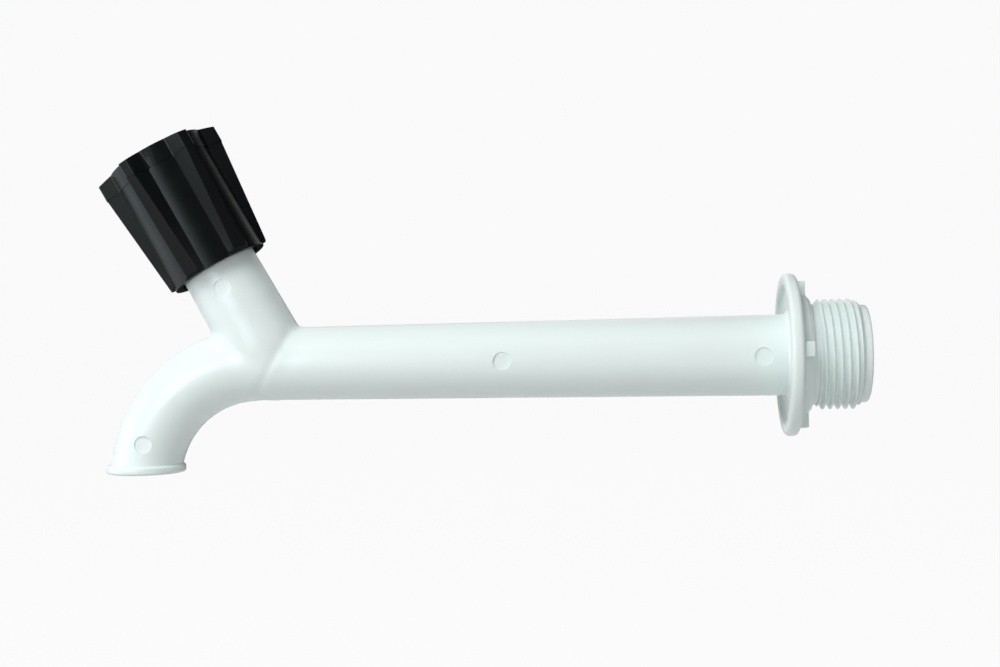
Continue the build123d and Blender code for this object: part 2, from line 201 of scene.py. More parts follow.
class TapFlangeSizes(bpy.types.PropertyGroup):
    """The wall flange and the threaded tail."""

    flange_d: bpy.props.FloatProperty(
        name="Flange diameter", description="Over the rim", default=39.0 * MM, unit="LENGTH")
    flange_t: bpy.props.FloatProperty(
        name="Flange thickness", description="At the rim", default=3.1 * MM, unit="LENGTH")
    rim_w: bpy.props.FloatProperty(
        name="Rim width", description="Of the raised rim", default=2.6 * MM, unit="LENGTH")
    dish: bpy.props.FloatProperty(
        name="Dish", description="How far the rim stands proud of the web", default=1.2 * MM, unit="LENGTH")
    tube_fillet: bpy.props.FloatProperty(
        name="Tube fillet", description="Radius between the tube and the web",
        default=1.3 * MM, unit="LENGTH")
    collar_l: bpy.props.FloatProperty(
        name="Collar length", description="Of the collar round the tube that carries the fillet",
        default=1.82 * MM, unit="LENGTH")
    rim_round: bpy.props.FloatProperty(
        name="Rim rounding", description="Radius of the rim's edges", default=1.1 * MM, unit="LENGTH")
    dish_round: bpy.props.FloatProperty(
        name="Dish rounding", description="Radius where the dish meets the rim",
        default=0.55 * MM, unit="LENGTH")
    hub_d: bpy.props.FloatProperty(
        name="Hub diameter", description="On the wall side", default=28.8 * MM, unit="LENGTH")
    hub_l: bpy.props.FloatProperty(
        name="Hub length", description="On the wall side", default=3.0 * MM, unit="LENGTH")
    hub_chamfer: bpy.props.FloatProperty(
        name="Hub chamfer", description="On the hub's edge", default=0.9 * MM, unit="LENGTH")
    lug_reach_d: bpy.props.FloatProperty(
        name="Lug reach", description="Diameter over the lugs", default=35.2 * MM, unit="LENGTH")
    lug_w: bpy.props.FloatProperty(
        name="Lug width", description="Round the hub", default=3.6 * MM, unit="LENGTH")
    lug_l: bpy.props.FloatProperty(
        name="Lug length", description="Along the inlet's axis", default=2.5 * MM, unit="LENGTH")
    lug_count: bpy.props.IntProperty(
        name="Lugs", description="Number of lugs round the hub", default=4, min=0)
    lug_round: bpy.props.FloatProperty(
        name="Lug rounding", description="Of the lugs' edges", default=0.3 * MM, unit="LENGTH")
    lug_turn: bpy.props.FloatProperty(
        name="Lug turn", description="Of the near lug, above the middle", default=radians(6), subtype="ANGLE")
    thread_d: bpy.props.FloatProperty(
        name="Thread diameter", description="Over the crests", default=26.44 * MM, unit="LENGTH")
    thread_pitch: bpy.props.FloatProperty(
        name="Thread pitch", description="From crest to crest", default=1.814 * MM, unit="LENGTH")
    thread_depth: bpy.props.FloatProperty(
        name="Thread depth", description="From crest to root", default=1.16 * MM, unit="LENGTH")
    thread_start: bpy.props.FloatProperty(
        name="Thread start", description="From the wall side of the flange", default=4.2 * MM, unit="LENGTH")
    thread_l: bpy.props.FloatProperty(
        name="Thread length", description="Of the threaded run", default=10.6 * MM, unit="LENGTH")
    thread_chamfer: bpy.props.FloatProperty(
        name="Thread chamfer", description="At both ends of the thread", default=1.1 * MM, unit="LENGTH")
    crest_round: bpy.props.FloatProperty(
        name="Crest rounding", description="Radius of the thread's crest", default=0.14 * MM, unit="LENGTH")
    root_round: bpy.props.FloatProperty(
        name="Root rounding", description="Radius where the thread's root meets the hub",
        default=0.3 * MM, unit="LENGTH")
    pilot_d: bpy.props.FloatProperty(
        name="Pilot diameter", description="Of the plain end", default=23.4 * MM, unit="LENGTH")
    pilot_l: bpy.props.FloatProperty(
        name="Pilot length", description="Of the plain end", default=1.9 * MM, unit="LENGTH")
    pilot_round: bpy.props.FloatProperty(
        name="Pilot rounding", description="Of the plain end's edge", default=0.6 * MM, unit="LENGTH")
    tail_bore_d: bpy.props.FloatProperty(
        name="Tail bore", description="Bore of the threaded tail", default=18.4 * MM, unit="LENGTH")


class TapKnobSizes(bpy.types.PropertyGroup):
    """The black knob's finish."""

    edge_round: bpy.props.FloatProperty(
        name="Edge rounding", description="Of the edges along the ribs", default=0.45 * MM, unit="LENGTH")
    rib_min_l: bpy.props.FloatProperty(
        name="Rib edge length", description="Shorter edges stay sharp",
        default=2.5 * MM, unit="LENGTH")
    rib_inside_r: bpy.props.FloatProperty(
        name="Rib inside radius", description="Edges nearer to the axis stay sharp",
        default=11.0 * MM, unit="LENGTH")
    rib_lean: bpy.props.FloatProperty(
        name="Rib lean", description="Edges that lean further from the knob's axis stay sharp",
        default=radians(20), subtype="ANGLE")
    sharpness: bpy.props.FloatProperty(
        name="Sharpness", description="Edges that turn by less stay as they are",
        default=radians(15), subtype="ANGLE")
    flatness: bpy.props.FloatProperty(
        name="Flatness", description="Faces that turn by less become one",
        default=radians(0.1), subtype="ANGLE")


class TapColours(bpy.types.PropertyGroup):
    """The colours of the tap's finishes."""

    # The cyan tint in this white is painted cool light, and the plastic itself is plain white
    white_plastic: bpy.props.FloatVectorProperty(
        name="White plastic", description="The body", subtype="COLOR",
        default=(0.79, 0.885, 0.87))
    # The faint blue tint in this black is painted cool light, and the plastic itself is plain black
    black_plastic: bpy.props.FloatVectorProperty(
        name="Black plastic", description="The knob and its cap", subtype="COLOR",
        default=(0.0040, 0.0052, 0.0058))
    bonnet_plastic: bpy.props.FloatVectorProperty(
        name="Bonnet plastic", description="The bonnet", subtype="COLOR",
        default=(0.70, 0.69, 0.64))
    brass: bpy.props.FloatVectorProperty(
        name="Brass", description="The spindle, the valve plate and its screw", subtype="COLOR",
        default=(0.72, 0.53, 0.25))
    rubber: bpy.props.FloatVectorProperty(
        name="Rubber", description="The washers and rings", subtype="COLOR",
        default=(0.022, 0.022, 0.023))
    steel: bpy.props.FloatVectorProperty(
        name="Steel", description="The knob's screw", subtype="COLOR",
        default=(0.56, 0.56, 0.57))


class Finish(NamedTuple):
    """A finish's material name, the size and strength of its faint variation, and its gloss."""

    material: str
    scale: float
    shade: float
    roughness: float
    unevenness: float
    bump: float
    metallic: float = 0.0
    specular: float = 0.5


# By the colour in TapColours that each one has
FINISHES = {
    "white_plastic": Finish(
        "moulded_white", scale=60.0, shade=0.03, roughness=0.36, unevenness=0.08, bump=0.05),
    "black_plastic": Finish(
        "moulded_black", scale=240.0, shade=0.30, roughness=0.34, unevenness=0.12, bump=0.12, specular=0.15),
    "bonnet_plastic": Finish(
        "bonnet_moulding", scale=120.0, shade=0.06, roughness=0.5, unevenness=0.1, bump=0.1),
    "brass": Finish(
        "turned_brass", scale=400.0, shade=0.12, roughness=0.3, unevenness=0.2, bump=0.15, metallic=1.0),
    "rubber": Finish(
        "soft_rubber", scale=500.0, shade=0.3, roughness=0.75, unevenness=0.15, bump=0.25),
    "steel": Finish(
        "screw_steel", scale=400.0, shade=0.1, roughness=0.28, unevenness=0.15, bump=0.1, metallic=1.0),
}
GRAIN_DETAIL = 4.0           # octaves of the finishes' noise
GRAIN_HEIGHT = 0.1 * MM      # of the finishes' bump


def deselect():
    """Deselects every object."""
    bpy.ops.object.select_all(action="DESELECT")


def pick(*objects):
    """Selects these objects only, the first one active."""
    deselect()
    for obj in objects:
        obj.select_set(True)
    bpy.context.view_layer.objects.active = objects[0]


def join(*objects):
    """Joins the objects into the first."""
    pick(*objects)
    bpy.ops.object.join()
    return objects[0]


def settle(obj):
    """Puts an object's place into its mesh."""
    pick(obj)
    bpy.ops.object.transform_apply(location=True, rotation=True, scale=True)


def modify(obj, kind, **settings):
    """Adds a modifier with its settings and applies it."""
    pick(obj)
    modifier = obj.modifiers.new(kind.lower(), kind)
    for key, value in settings.items():
        setattr(modifier, key, value)
    bpy.ops.object.modifier_apply(modifier=modifier.name)


def group_by_place(obj, wanted):
    """A vertex group of the points whose place passes a test."""
    group = obj.vertex_groups.new(name="by_place")
    group.add([point.index for point in obj.data.vertices if wanted(point.co)], 1.0, "REPLACE")
    return group.name


def weld(obj):
    """Merges doubled points and turns the faces outward."""
    pick(obj)
    bpy.ops.object.mode_set(mode="EDIT")
    bpy.ops.mesh.select_all(action="SELECT")
    bpy.ops.mesh.remove_doubles(threshold=WELD)
    bpy.ops.mesh.normals_make_consistent(inside=False)
    bpy.ops.object.mode_set(mode="OBJECT")


def combine(obj, tool, operation):
    """Cuts, joins or trims obj by another closed mesh, which is then removed."""
    modify(obj, "BOOLEAN", operation=operation, object=tool, solver="EXACT")
    pick(tool)
    bpy.ops.object.delete()


def turn_to(direction):
    """The rotation that points Z along a direction."""
    return Vector(direction).to_track_quat("Z", "Y").to_euler()


def cone(low, high, low_d, high_d):
    """A solid cone between two points."""
    deselect()
    run = high - low
    bpy.ops.mesh.primitive_cone_add(
        vertices=AROUND, radius1=low_d / 2, radius2=high_d / 2, depth=run.length,
        location=(low + high) / 2, rotation=turn_to(run))
    obj = bpy.context.object
    settle(obj)
    return obj


def rounded(profile, rounds, steps=CORNER_STEPS):
    """A profile of (along, radius) points with arcs at the corners that rounds names."""
    points = []
    for index, corner in enumerate(profile):
        radius = rounds.get(index, 0.0)
        here = Vector(corner)
        if not radius:
            points.append(here)
            continue
        before = (Vector(profile[index - 1]) - here).normalized()
        after = (Vector(profile[(index + 1) % len(profile)]) - here).normalized()
        half = before.angle(after) / 2
        reach = radius / tan(half)
        middle = here + (before + after).normalized() * radius / sin(half)
        first, last = here + before * reach - middle, here + after * reach - middle
        for step in range(steps + 1):
            points.append(middle + first.slerp(last, step / steps).normalized() * radius)
    return points


def lathe(profile, axis, origin):
    """A closed ring, made by extruding a circle through a closed profile of (along, radius) points."""
    deselect()
    along, radius = profile[0]
    bpy.ops.mesh.primitive_circle_add(vertices=AROUND, radius=radius, location=(0, 0, along))
    obj = bpy.context.object
    bpy.ops.object.transform_apply(location=True)
    bpy.ops.object.mode_set(mode="EDIT")
    bpy.ops.mesh.select_all(action="SELECT")
    for next_along, next_radius in [*profile[1:], profile[0]]:
        bpy.ops.mesh.extrude_region_move(TRANSFORM_OT_translate={"value": (0, 0, next_along - along)})
        grow = next_radius / radius
        bpy.ops.transform.resize(value=(grow, grow, 1), center_override=(0, 0, next_along))
        along, radius = next_along, next_radius
    bpy.ops.object.mode_set(mode="OBJECT")
    weld(obj)
    obj.rotation_euler = turn_to(axis)
    obj.location = origin
    settle(obj)
    return obj


def finish(obj, name, body, slot, *nodes, smooth=radians(30)):
    """Names a piece, smooths it, gives it its slot's finish and sets it on its body."""
    obj.name = name
    obj.data.name = name
    pick(obj)
    bpy.ops.object.shade_smooth_by_angle(angle=smooth)
    obj.data.materials.clear()
    obj.data.materials.append(finish_material(slot))
    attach(obj, body)
    if nodes:
        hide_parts(*nodes)


def spout_path(sizes, start_d, end_d, start_x):
    """A tapering bar along the spout's middle line, from the inlet's axis to below the outlet."""
    deselect()
    turn, bend = sizes.spout_turn, sizes.spout_bend_r
    handle = 4 / 3 * tan(turn / 4) * bend
    bend_start = Vector((CROSSING.x - sizes.spout_offset, 0, 0))
    bend_end = bend_start + Vector((-bend * sin(turn), 0, -bend * (1 - cos(turn))))
    flow = Vector((-cos(turn), 0, -sin(turn)))
    tail = bend_end + flow * sizes.spout_d_end / 2
    entry = Vector((start_x, 0, 0))
    bpy.ops.curve.primitive_bezier_curve_add()
    obj = bpy.context.object
    curve = obj.data
    curve.dimensions = "3D"
    curve.resolution_u = PATH_STEPS
    curve.bevel_depth = start_d / 2
    curve.bevel_resolution = PATH_ROUND_STEPS
    curve.use_fill_caps = True
    points = curve.splines[0].bezier_points
    points.add(2)
    taper = end_d / start_d
    places = [
        (entry, entry, bend_start, 1.0),
        (bend_start, entry, bend_start - Vector((handle, 0, 0)), 1.0),
        (bend_end, bend_end - flow * handle, tail, taper),
        (tail, bend_end, tail + flow * sizes.spout_wall, taper),
    ]
    for point, (place, left, right, thick) in zip(points, places):
        point.handle_left_type = point.handle_right_type = "FREE"
        point.co, point.handle_left, point.handle_right, point.radius = place, left, right, thick
    obj.location = (0, 0, 0)
    bpy.ops.object.convert(target="MESH")
    obj = bpy.context.object
    weld(obj)
    return obj


def spout_place(sizes, turn):
    """A point on the spout's middle line after a turn."""
    bend = sizes.spout_bend_r
    return Vector((CROSSING.x - sizes.spout_offset - bend * sin(turn), 0, -bend * (1 - cos(turn))))


def outlet_centre(sizes):
    """Where the spout's middle line meets the outlet plane."""
    end = spout_place(sizes, sizes.spout_turn)
    run = (end.z - OUTLET_LOW) / sin(sizes.spout_turn)
    return Vector((end.x - run * cos(sizes.spout_turn), 0, OUTLET_LOW))


def trim(obj, point, outward):
    """Cuts off what lies beyond a plane and closes the cut."""
    pick(obj)
    bpy.ops.object.mode_set(mode="EDIT")
    bpy.ops.mesh.select_all(action="SELECT")
    bpy.ops.mesh.bisect(plane_co=point, plane_no=outward, use_fill=True, clear_outer=True)
    bpy.ops.object.mode_set(mode="OBJECT")


def moulded_variation():
    """A group of faint changes in shade, gloss and height, as on moulded or turned surfaces."""
    name = "moulded_variation"
    if name in bpy.data.node_groups:
        return bpy.data.node_groups[name]
    group = bpy.data.node_groups.new(name, "ShaderNodeTree")
    socket = group.interface.new_socket
    socket("Color", in_out="INPUT", socket_type="NodeSocketColor")
    for label in ("Scale", "Shade", "Roughness", "Unevenness"):
        socket(label, in_out="INPUT", socket_type="NodeSocketFloat")
    socket("Color", in_out="OUTPUT", socket_type="NodeSocketColor")
    socket("Roughness", in_out="OUTPUT", socket_type="NodeSocketFloat")
    socket("Height", in_out="OUTPUT", socket_type="NodeSocketFloat")
    nodes, links = group.nodes, group.links
    given, made = nodes.new("NodeGroupInput"), nodes.new("NodeGroupOutput")
    place = nodes.new("ShaderNodeTexCoord")
    noise = nodes.new("ShaderNodeTexNoise")
    noise.inputs["Detail"].default_value = GRAIN_DETAIL
    links.new(place.outputs["Object"], noise.inputs["Vector"])
    links.new(given.outputs["Scale"], noise.inputs["Scale"])
    centred = nodes.new("ShaderNodeMath")
    centred.operation = "SUBTRACT"
    centred.inputs[1].default_value = 0.5
    links.new(noise.outputs["Fac"], centred.inputs[0])
    shade = nodes.new("ShaderNodeMath")
    shade.operation = "MULTIPLY_ADD"
    shade.inputs[2].default_value = 1.0
    links.new(centred.outputs[0], shade.inputs[0])
    links.new(given.outputs["Shade"], shade.inputs[1])
    tint = nodes.new("ShaderNodeVectorMath")
    tint.operation = "SCALE"
    links.new(given.outputs["Color"], tint.inputs[0])
    links.new(shade.outputs[0], tint.inputs["Scale"])
    links.new(tint.outputs[0], made.inputs["Color"])
    gloss = nodes.new("ShaderNodeMath")
    gloss.operation = "MULTIPLY_ADD"
    links.new(centred.outputs[0], gloss.inputs[0])
    links.new(given.outputs["Unevenness"], gloss.inputs[1])
    links.new(given.outputs["Roughness"], gloss.inputs[2])
    links.new(gloss.outputs[0], made.inputs["Roughness"])
    links.new(noise.outputs["Fac"], made.inputs["Height"])
    return group


def finish_material(kind):
    """A procedural finish: one colour with faint variation from the shared group."""
    look = FINISHES[kind]
    if look.material in bpy.data.materials:
        return bpy.data.materials[look.material]
    material = bpy.data.materials.new(look.material)
    material.use_nodes = True
    nodes, links = material.node_tree.nodes, material.node_tree.links
    shader = nodes["Principled BSDF"]
    shader.inputs["Metallic"].default_value = look.metallic
    shader.inputs["Specular IOR Level"].default_value = look.specular
    group = nodes.new("ShaderNodeGroup")
    group.node_tree = moulded_variation()
    group.inputs["Color"].default_value = (*getattr(bpy.context.scene.tap_colours, kind), 1.0)
    group.inputs["Scale"].default_value = look.scale
    group.inputs["Shade"].default_value = look.shade
    group.inputs["Roughness"].default_value = look.roughness
    group.inputs["Unevenness"].default_value = look.unevenness
    links.new(group.outputs["Color"], shader.inputs["Base Color"])
    links.new(group.outputs["Roughness"], shader.inputs["Roughness"])
    height = nodes.new("ShaderNodeBump")
    height.inputs["Strength"].default_value = look.bump
    height.inputs["Distance"].default_value = GRAIN_HEIGHT
    links.new(group.outputs["Height"], height.inputs["Height"])
    links.new(height.outputs["Normal"], shader.inputs["Normal"])
    return material


def seen_as_background(nodes, links):
    """One for camera, glossy and transmission rays, so that the background looks white there."""
    path = nodes.new("ShaderNodeLightPath")
    total = path.outputs["Is Camera Ray"]
    for kind in ("Is Glossy Ray", "Is Transmission Ray"):
        either = nodes.new("ShaderNodeMath")
        either.operation = "MAXIMUM"
        links.new(total, either.inputs[0])
        links.new(path.outputs[kind], either.inputs[1])
        total = either.outputs[0]
    return total


class TAP_OT_moulding(bpy.types.Operator):
    """Tube, neck and spout as one skin with soft seams, bored as the solid is"""

    bl_idname = "tap.moulding"
    bl_label = "Tube, neck and spout"

    def execute(self, context):
        sizes = context.scene.tap_moulding
        in_flange = Vector((0, 0, 0))
        lean = NECK_AXIS.angle(Vector((0, 0, 1)))
        past_crossing = CROSSING - INLET_AXIS * sizes.tube_d_at_neck / 2 * tan(lean)
        tube = cone(CROSSING, in_flange, sizes.tube_d_at_neck, sizes.tube_d_at_flange)
        tube_end = cone(past_crossing, CROSSING, sizes.tube_d_at_neck, sizes.tube_d_at_neck)
        foot = CROSSING + NECK_AXIS * sizes.neck_foot
        mouth = CROSSING + NECK_AXIS * sizes.neck_mouth
        past_mouth = mouth + NECK_AXIS * sizes.neck_spare
        neck = cone(foot, past_mouth, sizes.neck_d_at_foot, sizes.neck_d_at_mouth)
        neck_foot = cone(CROSSING, foot, sizes.spout_d_start, sizes.neck_d_at_foot)
        bpy.ops.mesh.primitive_uv_sphere_add(
            segments=AROUND, ring_count=AROUND // 2, radius=sizes.spout_d_start / 2, location=CROSSING)
        neck_end = context.object
        settle(neck_end)
        in_tube = CROSSING.x + sizes.spout_d_start
        spout = spout_path(sizes, sizes.spout_d_start, sizes.spout_d_end, in_tube)
        mitre = Vector((NECK_AXIS.z, 0, NECK_AXIS.x))
        seam = CROSSING + INLET_AXIS * sizes.mitre_shift
        trim(spout, seam, mitre)
        skin = join(spout, tube, tube_end, neck, neck_foot, neck_end)
        modify(skin, "REMESH", mode="VOXEL", voxel_size=sizes.skin_step)
        sides = group_by_place(
            skin, lambda co: abs(co.y) > sizes.foot_middle and (co - foot).length < sizes.foot_reach)
        modify(skin, "SMOOTH", factor=SMOOTHING, iterations=sizes.foot_softening, vertex_group=sides)
        crease = group_by_place(
            skin, lambda co: (abs((co - seam).dot(mitre)) < sizes.crease_w / 2
                              and abs(co.y) > sizes.crease_middle))
        modify(skin, "DISPLACE", strength=-sizes.crease_depth, mid_level=0.0, vertex_group=crease)
        skin.vertex_groups.clear()
        modify(skin, "SMOOTH", factor=SMOOTHING, iterations=sizes.seam_softening)
        trim(skin, mouth, NECK_AXIS)
        trim(skin, Vector((0, 0, OUTLET_LOW + sizes.lip_h / 2)), Vector((0, 0, -1)))
        chamber = cone(CROSSING, past_mouth, sizes.chamber_d, sizes.chamber_d)
        combine(skin, chamber, "DIFFERENCE")
        wall = 2 * sizes.spout_wall
        bore = spout_path(sizes, sizes.spout_d_start - wall, sizes.spout_d_end - wall, CROSSING.x)
        combine(skin, bore, "DIFFERENCE")
        waterway_end = CROSSING + INLET_AXIS * sizes.chamber_d
        past_end = INLET_AXIS * OVERSHOOT
        waterway = cone(waterway_end, past_end, sizes.waterway_d_at_neck, sizes.waterway_d)
        combine(skin, waterway, "DIFFERENCE")
        for place, radius in self.marks(sizes):
            floor = place + Vector((0, sizes.mark_depth - radius, 0))
            outside = floor - Vector((0, sizes.mark_d, 0))
            combine(skin, cone(floor, outside, sizes.mark_d, sizes.mark_d), "DIFFERENCE")
        finish(skin, "tap_moulding", "tap_body", "white_plastic", "body")
        return {"FINISHED"}

    def marks(self, sizes):
        """Where the ejector pins left their marks on the near side, with the skin's radius there."""
        slope = (sizes.tube_d_at_flange - sizes.tube_d_at_neck) / CROSSING.length
        for distance in (sizes.tube_mark_far, sizes.tube_mark_near):
            yield Vector((-distance, 0, 0)), (sizes.tube_d_at_flange - slope * distance) / 2
        neck_d = (sizes.neck_d_at_mouth + sizes.neck_d_at_foot) / 2
        yield CROSSING + NECK_AXIS * sizes.neck_mark, neck_d / 2
        yield spout_place(sizes, sizes.spout_mark), sizes.spout_d_end / 2


class TAP_OT_outlet_lip(bpy.types.Operator):
    """The rounded ring at the spout's outlet"""

    bl_idname = "tap.outlet_lip"
    bl_label = "Outlet lip"

    def execute(self, context):
        sizes = context.scene.tap_moulding
        bore_r = sizes.spout_d_end / 2 - sizes.spout_wall
        lip_r = sizes.lip_d / 2
        profile = rounded(
            [(0, bore_r), (0, lip_r), (sizes.lip_h, lip_r), (sizes.lip_h, bore_r)],
            {1: sizes.lip_round, 2: sizes.lip_round})
        lip = lathe(profile, (0, 0, 1), outlet_centre(sizes))
        finish(lip, "outlet_lip", "tap_body", "white_plastic", "body")
        return {"FINISHED"}


class TAP_OT_flange(bpy.types.Operator):
    """The dished wall flange with its hub, lugs and plain tail"""

    bl_idname = "tap.flange"
    bl_label = "Wall flange"

    def execute(self, context):
        sizes = context.scene.tap_flange
        moulding = context.scene.tap_moulding
        web = -sizes.flange_t + sizes.dish
        root_r = sizes.thread_d / 2 - sizes.thread_depth
        thread_end = sizes.thread_start + sizes.thread_l
        end = thread_end + sizes.pilot_l
        rim_r = sizes.flange_d / 2
        hidden_r = (moulding.waterway_d + moulding.tube_d_at_flange) / 4
        collar = web - sizes.collar_l
        collar_r = moulding.tube_d_at_flange / 2 - CLEAR
        profile = [
            (web / 2, moulding.waterway_d / 2),
            (collar, hidden_r),
            (collar, collar_r),
            (web, collar_r),
            (web, rim_r - sizes.rim_w),
            (-sizes.flange_t, rim_r - sizes.rim_w),
            (-sizes.flange_t, rim_r),
            (0, rim_r),
            (0, sizes.hub_d / 2),
            (sizes.hub_l - sizes.hub_chamfer, sizes.hub_d / 2),
            (sizes.hub_l, sizes.hub_d / 2 - sizes.hub_chamfer),
            (sizes.hub_l, root_r),
            (thread_end, root_r),
            (thread_end, sizes.pilot_d / 2),
            (end, sizes.pilot_d / 2),
            (end, sizes.tail_bore_d / 2),
            (sizes.hub_l, sizes.tail_bore_d / 2),
        ]
        rounds = {
            3: sizes.tube_fillet, 4: sizes.dish_round, 5: sizes.dish_round, 6: sizes.rim_round,
            7: sizes.rim_round, 11: sizes.root_round, 14: sizes.pilot_round,
        }
        flange = lathe(rounded(profile, rounds), INLET_AXIS, (0, 0, 0))
        lugs = [self.lug(sizes, index) for index in range(sizes.lug_count)]
        flange = join(flange, *lugs)
        finish(flange, "wall_flange", "tap_body", "white_plastic", "body")
        return {"FINISHED"}

    def lug(self, sizes, index):
        """One block between the flange and the thread, against the hub."""
        depth = (sizes.lug_reach_d - sizes.hub_d) / 2 + sizes.hub_chamfer
        turn = sizes.lug_turn + 2 * pi * index / sizes.lug_count
        outward = Vector((0, -cos(turn), sin(turn)))
        deselect()
        bpy.ops.mesh.primitive_cube_add(
            size=1, location=INLET_AXIS * sizes.lug_l / 2 + outward * (sizes.lug_reach_d - depth) / 2,
            rotation=(-turn, 0, 0), scale=(sizes.lug_l, depth, sizes.lug_w))
        lug = bpy.context.object
        settle(lug)
        modify(lug, "BEVEL", width=sizes.lug_round, segments=BEVEL_STEPS, limit_method="ANGLE")
        return lug


class TAP_OT_thread(bpy.types.Operator):
    """The inlet's helical thread, fading out at both ends"""

    bl_idname = "tap.thread"
    bl_label = "Inlet thread"

    # Widths of the ridge as shares of the pitch: under the root, at the root and at the crest
    under_w, root_w, crest_w = 0.92, 0.80, 0.16

    def execute(self, context):
        sizes = context.scene.tap_flange
        ridge = self.ridge(sizes)
        crest_r = sizes.thread_d / 2
        root_r = crest_r - sizes.thread_depth
        inside_r = root_r - sizes.thread_depth / 2
        room_r = crest_r + CLEAR / 10
        low = sizes.thread_start
        high = low + sizes.thread_l - CLEAR
        room = lathe([
            (low, inside_r), (low, root_r), (low + sizes.thread_chamfer, room_r),
            (high - sizes.thread_chamfer, room_r), (high, root_r), (high, inside_r),
        ], INLET_AXIS, (0, 0, 0))
        combine(ridge, room, "INTERSECT")
        finish(ridge, "inlet_thread", "tap_body", "white_plastic", "body", smooth=radians(50))
        return {"FINISHED"}

    def ridge(self, sizes):
        """A rounded ridge wound right-handed round the tail, a little longer than the thread."""
        crest_r = sizes.thread_d / 2
        root_r = crest_r - sizes.thread_depth
        under_r = root_r - sizes.thread_depth / 4
        half = sizes.thread_pitch / 2
        under, root, crest = self.under_w * half, self.root_w * half, self.crest_w * half
        section = rounded(
            [(-under, under_r), (-root, root_r), (-crest, crest_r),
             (crest, crest_r), (root, root_r), (under, under_r)],
            {2: sizes.crest_round, 3: sizes.crest_round}, steps=BEVEL_STEPS)
        deselect()
        bpy.ops.mesh.primitive_circle_add(vertices=len(section), radius=MM, fill_type="NGON")
        obj = bpy.context.object
        turns = sizes.thread_l / sizes.thread_pitch + 1
        for vertex, (along, radius) in zip(obj.data.vertices, section):
            vertex.co = (along + sizes.thread_start - half, 0, radius)
        steps = int(AROUND * turns)
        modify(obj, "SCREW", axis="X", angle=2 * pi * turns, screw_offset=turns * sizes.thread_pitch,
               steps=steps, render_steps=steps, use_merge_vertices=False)
        pick(obj)
        bpy.ops.object.mode_set(mode="EDIT")
        bpy.ops.mesh.select_all(action="SELECT")
        bpy.ops.mesh.remove_doubles(threshold=WELD)
        bpy.ops.mesh.select_all(action="DESELECT")
        bpy.ops.mesh.select_non_manifold(extend=False)
        bpy.ops.mesh.fill_holes(sides=0)
        bpy.ops.mesh.select_all(action="SELECT")
        bpy.ops.mesh.normals_make_consistent(inside=False)
        bpy.ops.object.mode_set(mode="OBJECT")
        return obj


class TAP_OT_knob(bpy.types.Operator):
    """The ribbed knob, with rounded edges along its ribs"""

    bl_idname = "tap.knob"
    bl_label = "Ribbed knob"

    def execute(self, context):
        sizes = context.scene.tap_knob
        pick(frame["nodes"]["knob"])
        bpy.ops.object.duplicate()
        knob = context.object
        bpy.ops.object.parent_clear(type="CLEAR_KEEP_TRANSFORM")
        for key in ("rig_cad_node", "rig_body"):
            del knob[key]
        bpy.ops.object.mode_set(mode="EDIT")
        bpy.ops.mesh.select_all(action="SELECT")
        bpy.ops.mesh.remove_doubles(threshold=WELD)
        bpy.ops.mesh.dissolve_limited(angle_limit=sizes.flatness)
        bpy.ops.mesh.select_mode(type="EDGE")
        bpy.ops.mesh.select_all(action="DESELECT")
        bpy.ops.mesh.edges_select_sharp(sharpness=sizes.sharpness)
        bpy.ops.object.mode_set(mode="OBJECT")
        self.mark_edges(knob.data, sizes)
        modify(knob, "BEVEL", width=sizes.edge_round, segments=BEVEL_STEPS, limit_method="WEIGHT",
               use_clamp_overlap=False)
        finish(knob, "ribbed_knob", "knob_and_spindle", "black_plastic", "knob", smooth=radians(35))
        modify(knob, "WEIGHTED_NORMAL", mode="FACE_AREA", keep_sharp=True)
        return {"FINISHED"}

    def mark_edges(self, mesh, sizes):
        """Marks the sharp edges along the ribs for the bevel."""
        marks = mesh.attributes.new("bevel_weight_edge", "FLOAT", "EDGE")
        for edge in mesh.edges:
            start, end = (mesh.vertices[index].co - CROSSING for index in edge.vertices)
            run = end - start
            radius = min(start.cross(NECK_AXIS).length, end.cross(NECK_AXIS).length)
            along_rib = abs(run.normalized().dot(NECK_AXIS)) > cos(sizes.rib_lean)
            on_rib = radius > sizes.rib_inside_r and run.length > sizes.rib_min_l and along_rib
            marks.data[edge.index].value = float(edge.select and on_rib)


class TAP_OT_inner_pieces(bpy.types.Operator):
    """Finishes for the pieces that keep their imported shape"""

    bl_idname = "tap.inner_pieces"
    bl_label = "Valve pieces and cap"

    kinds = {
        "bonnet": "bonnet_plastic", "bonnet_seal": "rubber", "spindle": "brass", "spindle_o_rings": "rubber",
        "jumper": "brass", "seat_washer": "rubber", "washer_screw": "brass", "knob_screw": "steel",
        "knob_cap": "black_plastic",
    }

    def execute(self, context):
        for node, kind in self.kinds.items():
            piece = frame["nodes"][node]
            piece.data.materials.clear()
            piece.data.materials.append(finish_material(kind))
        return {"FINISHED"}


